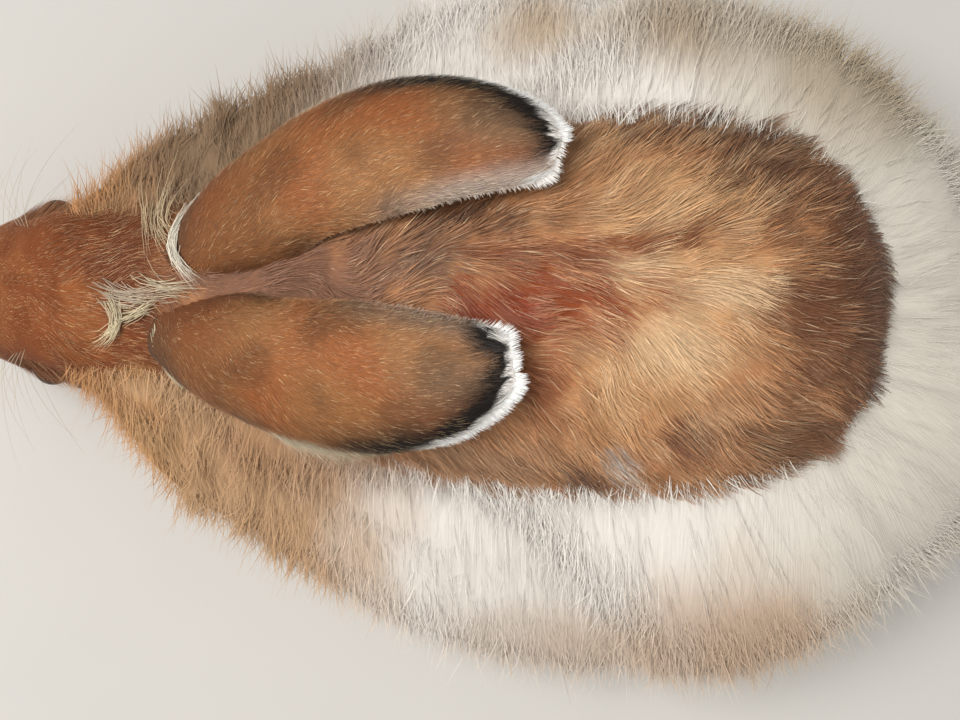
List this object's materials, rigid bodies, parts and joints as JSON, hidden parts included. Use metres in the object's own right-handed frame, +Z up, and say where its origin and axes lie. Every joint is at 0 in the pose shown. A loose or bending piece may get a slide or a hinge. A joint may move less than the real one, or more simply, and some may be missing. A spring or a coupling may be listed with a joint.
{
  "type": "angora rabbit",
  "caption": "Life-size still model of a crouching angora rabbit, ears laid back, back plucked short, with long wool standing out all round its sides.",
  "frame": {"origin": "on the floor under the middle of the body, on the flat of the belly, midway between the shoulders and the haunches", "axes": "+Z up, -Y along the head towards the nose, +Y towards the tail, +X to the animal's left"},
  "size_m": [0.2904, 0.418, 0.1747],
  "materials": {
    "head_fur": "short red fawn fur",
    "ear_left_fur": "short fawn fur with a dark edge",
    "ear_right_fur": "short fawn fur with a dark edge",
    "eye_left": "dark brown, wet gloss",
    "eye_right": "dark brown, wet gloss",
    "neck_wool": "long soft fawn wool",
    "torso_wool": "plucked golden back with long pale wool below",
    "haunch_left_wool": "long soft pale wool",
    "haunch_right_wool": "long soft pale wool",
    "foreleg_left_fur": "short pale fawn fur",
    "foreleg_right_fur": "short pale fawn fur",
    "hind_foot_left_fur": "short pale fawn fur",
    "hind_foot_right_fur": "short pale fawn fur",
    "tail_wool": "long soft pale wool"
  },
  "bodies": {
    "root": {"head": "head_fur", "ear_left": "ear_left_fur", "ear_right": "ear_right_fur", "eye_left": "eye_left", "eye_right": "eye_right", "neck": "neck_wool", "torso": "torso_wool", "haunch_left": "haunch_left_wool", "haunch_right": "haunch_right_wool", "foreleg_left": "foreleg_left_fur", "foreleg_right": "foreleg_right_fur", "hind_foot_left": "hind_foot_left_fur", "hind_foot_right": "hind_foot_right_fur", "tail": "tail_wool"}
  },
  "joints": []
}
